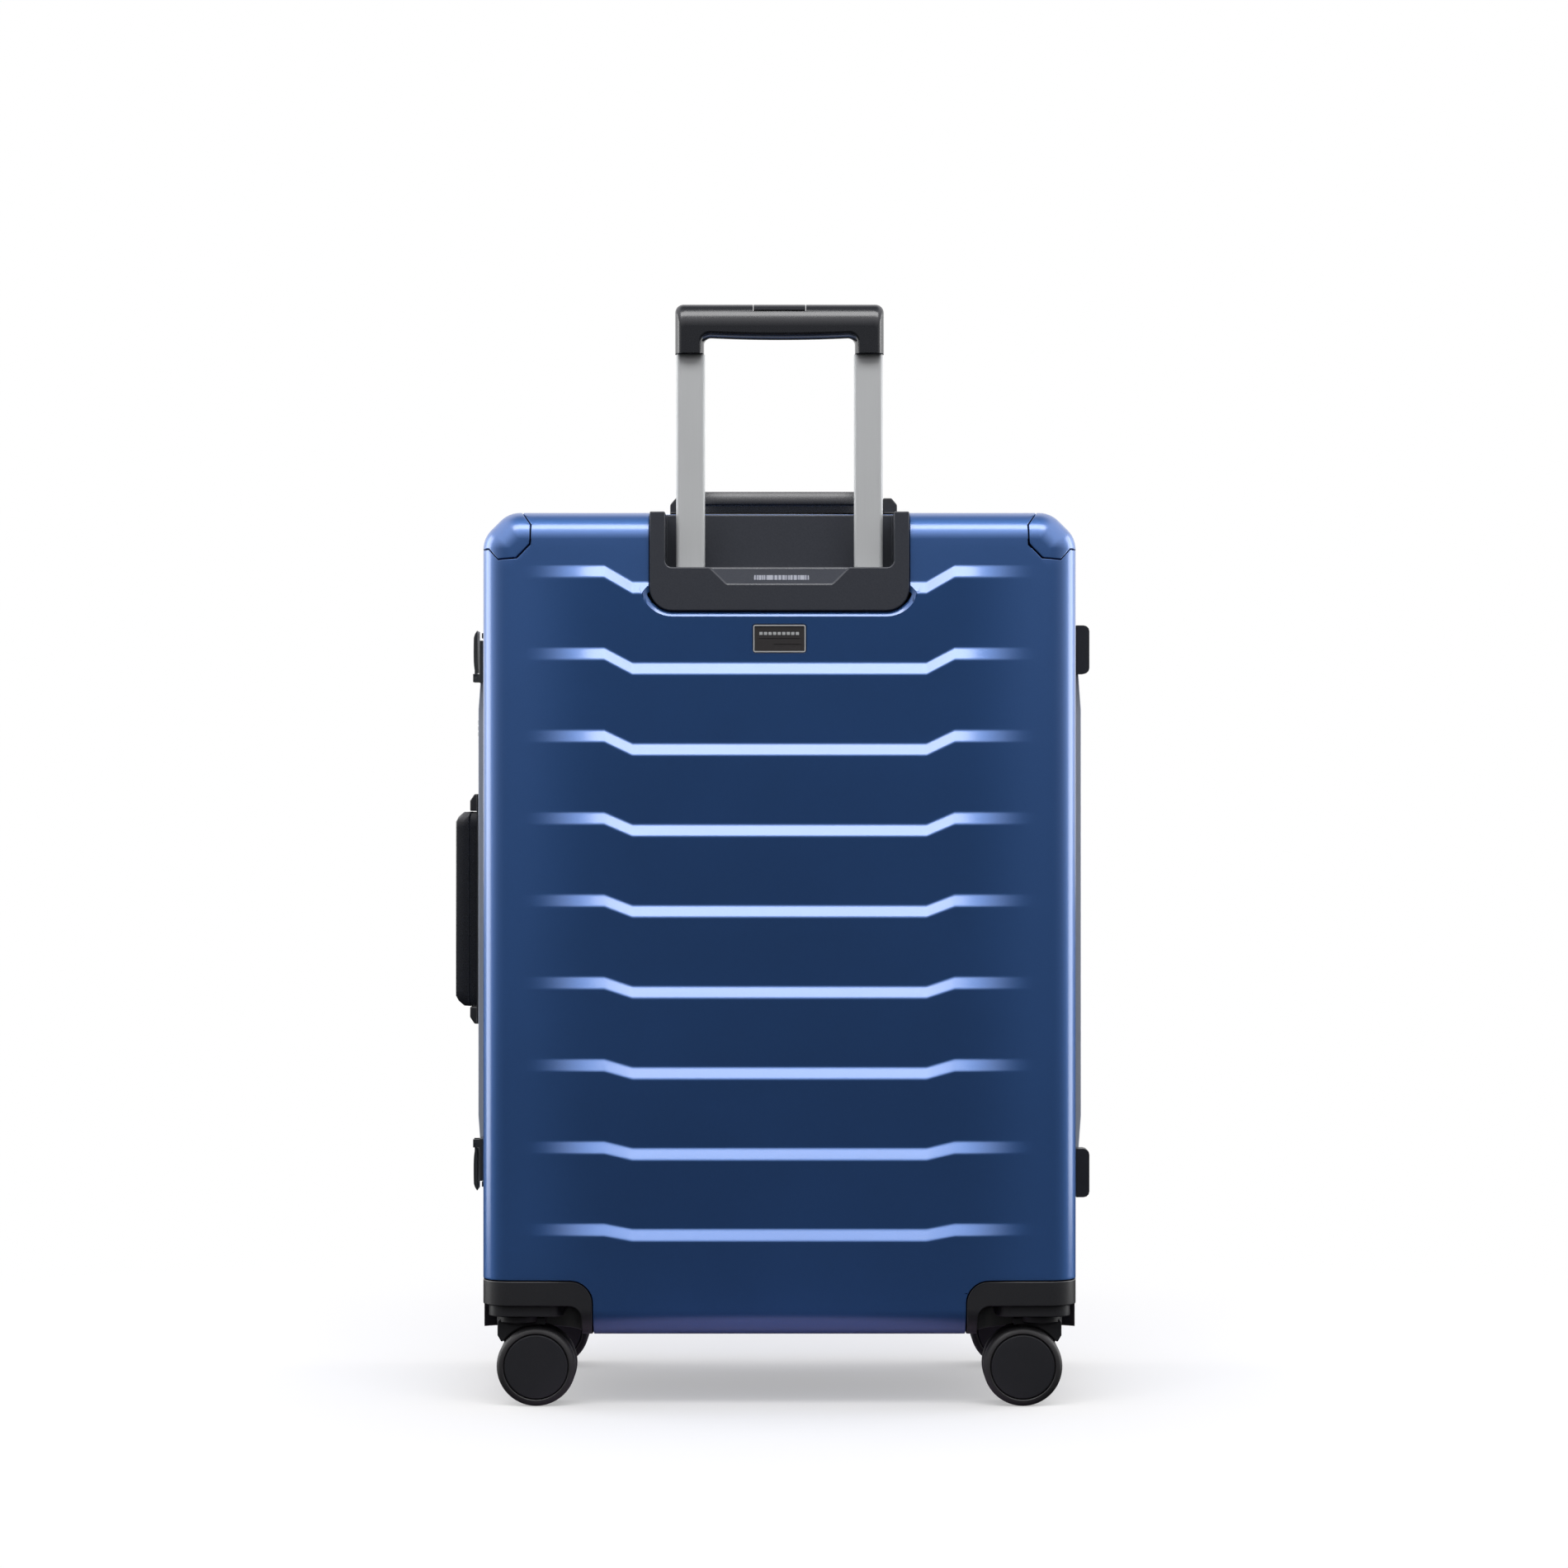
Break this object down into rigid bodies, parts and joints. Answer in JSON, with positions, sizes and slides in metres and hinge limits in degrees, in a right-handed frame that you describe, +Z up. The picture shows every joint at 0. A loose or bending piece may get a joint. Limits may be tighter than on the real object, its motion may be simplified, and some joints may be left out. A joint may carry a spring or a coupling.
{
  "type": "hard shell suitcase",
  "caption": "Upright hard shell suitcase with stepped half shells, hinged lid, telescopic trolley, two carry handles, two latches and four twin-wheel casters.",
  "frame": {"origin": "middle of the whole box on the ground under the wheels, with the lid closed and the trolley part extended", "axes": "+Z up, -Y towards the trolley side (rear), +Y towards the lid's face (front), +X towards the hinge side, -X towards the latches and side handle"},
  "size_m": [0.481, 0.27, 0.8059],
  "materials": {
    "shell": "satin metallic blue lacquer on polycarbonate",
    "belt": "satin blue anodised",
    "frame": "satin silver anodised",
    "seal": "matt black",
    "tube": "satin grey anodised",
    "black_plastic": "fine grain, black",
    "dark_plastic": "satin, dark grey",
    "gunmetal": "satin gunmetal",
    "steel": "bright",
    "wheel": "matt black",
    "lining": "woven polyester",
    "nameplate": "dark satin with a bright edge"
  },
  "bodies": {
    "rear_half": {"rear_shell": "shell", "rear_frame": "frame", "frame_seal": "seal", "corner_guard_rear_left": "shell", "corner_guard_rear_right": "shell", "wheel_housing_rear_left": "black_plastic", "wheel_housing_rear_right": "black_plastic", "rear_lining": "lining", "trolley_housing": "dark_plastic", "trolley_outer_tube_left": "tube", "trolley_outer_tube_right": "tube", "nameplate": "nameplate", "top_handle_base": "black_plastic", "latch_base_upper": "gunmetal", "latch_base_lower": "gunmetal", "hinge_block_upper": "black_plastic", "hinge_block_lower": "black_plastic"},
    "front_half": {"front_shell": "shell", "front_frame": "belt", "corner_guard_front_left": "shell", "corner_guard_front_right": "shell", "wheel_housing_front_left": "black_plastic", "wheel_housing_front_right": "black_plastic", "front_lining": "lining", "side_handle_base": "black_plastic", "latch_catch_upper": "gunmetal", "latch_catch_lower": "gunmetal", "hinge_leaf_upper": "steel", "hinge_leaf_lower": "steel", "lock_body": "gunmetal"},
    "trolley_mid": {"trolley_mid_tube_left": "tube", "trolley_mid_tube_right": "tube"},
    "trolley_top": {"trolley_inner_tube_left": "tube", "trolley_inner_tube_right": "tube", "trolley_grip": "black_plastic"},
    "trolley_button": {"trolley_button": "dark_plastic"},
    "top_handle": {"top_handle_grip": "black_plastic"},
    "side_handle": {"side_handle_grip": "black_plastic"},
    "latch_upper": {"latch_lever_upper": "gunmetal"},
    "latch_lower": {"latch_lever_lower": "gunmetal"},
    "dial_1": {"lock_dial_1": "steel"},
    "dial_2": {"lock_dial_2": "steel"},
    "dial_3": {"lock_dial_3": "steel"},
    "caster_rear_left": {"caster_fork_rear_left": "black_plastic", "caster_axle_rear_left": "steel"},
    "wheel_rear_left_outer": {"wheel_rear_left_outer": "wheel"},
    "wheel_rear_left_inner": {"wheel_rear_left_inner": "wheel"},
    "caster_rear_right": {"caster_fork_rear_right": "black_plastic", "caster_axle_rear_right": "steel"},
    "wheel_rear_right_outer": {"wheel_rear_right_outer": "wheel"},
    "wheel_rear_right_inner": {"wheel_rear_right_inner": "wheel"},
    "caster_front_left": {"caster_fork_front_left": "black_plastic", "caster_axle_front_left": "steel"},
    "wheel_front_left_outer": {"wheel_front_left_outer": "wheel"},
    "wheel_front_left_inner": {"wheel_front_left_inner": "wheel"},
    "caster_front_right": {"caster_fork_front_right": "black_plastic", "caster_axle_front_right": "steel"},
    "wheel_front_right_outer": {"wheel_front_right_outer": "wheel"},
    "wheel_front_right_inner": {"wheel_front_right_inner": "wheel"}
  },
  "joints": [
    {"name": "lid_hinge", "type": "hinge", "parent": "rear_half", "child": "front_half", "pos_m": [0.2371, 0, 0.3588], "axis": [0, 0, -1], "range_deg": [0, 170]},
    {"name": "trolley_mid_slide", "type": "slide", "parent": "rear_half", "child": "trolley_mid", "axis": [0, 0, 1], "range_m": [0, 0.2]},
    {"name": "trolley_top_slide", "type": "slide", "parent": "trolley_mid", "child": "trolley_top", "axis": [0, 0, 1], "range_m": [-0.1545, 0.096]},
    {"name": "button_press", "type": "slide", "parent": "trolley_top", "child": "trolley_button", "axis": [0, 0, -1], "range_m": [0, 0.004], "stiffness_N_per_m": 400},
    {"name": "top_handle_lift", "type": "slide", "parent": "rear_half", "child": "top_handle", "axis": [0, 0, 1], "range_m": [0, 0.018]},
    {"name": "side_handle_pull", "type": "slide", "parent": "front_half", "child": "side_handle", "axis": [-1, 0, 0], "range_m": [0, 0.018]},
    {"name": "upper_latch_lift", "type": "hinge", "parent": "rear_half", "child": "latch_upper", "pos_m": [-0.2235, -0.0084, 0.5362], "axis": [0, -1, 0], "range_deg": [0, 80]},
    {"name": "lower_latch_lift", "type": "hinge", "parent": "rear_half", "child": "latch_lower", "pos_m": [-0.2235, -0.0084, 0.1822], "axis": [0, 1, 0], "range_deg": [0, 80]},
    {"name": "dial_1_turn", "type": "hinge", "parent": "front_half", "child": "dial_1", "pos_m": [-0.2205, 0.0135, 0.493], "axis": [0, 0, 1], "continuous": true},
    {"name": "dial_2_turn", "type": "hinge", "parent": "front_half", "child": "dial_2", "pos_m": [-0.2205, 0.0135, 0.4975], "axis": [0, 0, 1], "continuous": true},
    {"name": "dial_3_turn", "type": "hinge", "parent": "front_half", "child": "dial_3", "pos_m": [-0.2205, 0.0135, 0.502], "axis": [0, 0, 1], "continuous": true},
    {"name": "caster_rear_left_swivel", "type": "hinge", "parent": "rear_half", "child": "caster_rear_left", "pos_m": [-0.1847, -0.103, 0.066], "axis": [0, 0, 1], "continuous": true},
    {"name": "wheel_rear_left_outer_spin", "type": "hinge", "parent": "caster_rear_left", "child": "wheel_rear_left_outer", "pos_m": [-0.1717, -0.103, 0.029], "axis": [0, 1, 0], "continuous": true},
    {"name": "wheel_rear_left_inner_spin", "type": "hinge", "parent": "caster_rear_left", "child": "wheel_rear_left_inner", "pos_m": [-0.1717, -0.103, 0.029], "axis": [0, 1, 0], "continuous": true},
    {"name": "caster_rear_right_swivel", "type": "hinge", "parent": "rear_half", "child": "caster_rear_right", "pos_m": [0.1973, -0.103, 0.066], "axis": [0, 0, 1], "continuous": true},
    {"name": "wheel_rear_right_outer_spin", "type": "hinge", "parent": "caster_rear_right", "child": "wheel_rear_right_outer", "pos_m": [0.1843, -0.103, 0.029], "axis": [0, 1, 0], "continuous": true},
    {"name": "wheel_rear_right_inner_spin", "type": "hinge", "parent": "caster_rear_right", "child": "wheel_rear_right_inner", "pos_m": [0.1843, -0.103, 0.029], "axis": [0, 1, 0], "continuous": true},
    {"name": "caster_front_left_swivel", "type": "hinge", "parent": "front_half", "child": "caster_front_left", "pos_m": [-0.1847, 0.103, 0.066], "axis": [0, 0, 1], "continuous": true},
    {"name": "wheel_front_left_outer_spin", "type": "hinge", "parent": "caster_front_left", "child": "wheel_front_left_outer", "pos_m": [-0.1717, 0.103, 0.029], "axis": [0, 1, 0], "continuous": true},
    {"name": "wheel_front_left_inner_spin", "type": "hinge", "parent": "caster_front_left", "child": "wheel_front_left_inner", "pos_m": [-0.1717, 0.103, 0.029], "axis": [0, 1, 0], "continuous": true},
    {"name": "caster_front_right_swivel", "type": "hinge", "parent": "front_half", "child": "caster_front_right", "pos_m": [0.1973, 0.103, 0.066], "axis": [0, 0, 1], "continuous": true},
    {"name": "wheel_front_right_outer_spin", "type": "hinge", "parent": "caster_front_right", "child": "wheel_front_right_outer", "pos_m": [0.1843, 0.103, 0.029], "axis": [0, 1, 0], "continuous": true},
    {"name": "wheel_front_right_inner_spin", "type": "hinge", "parent": "caster_front_right", "child": "wheel_front_right_inner", "pos_m": [0.1843, 0.103, 0.029], "axis": [0, 1, 0], "continuous": true}
  ]
}
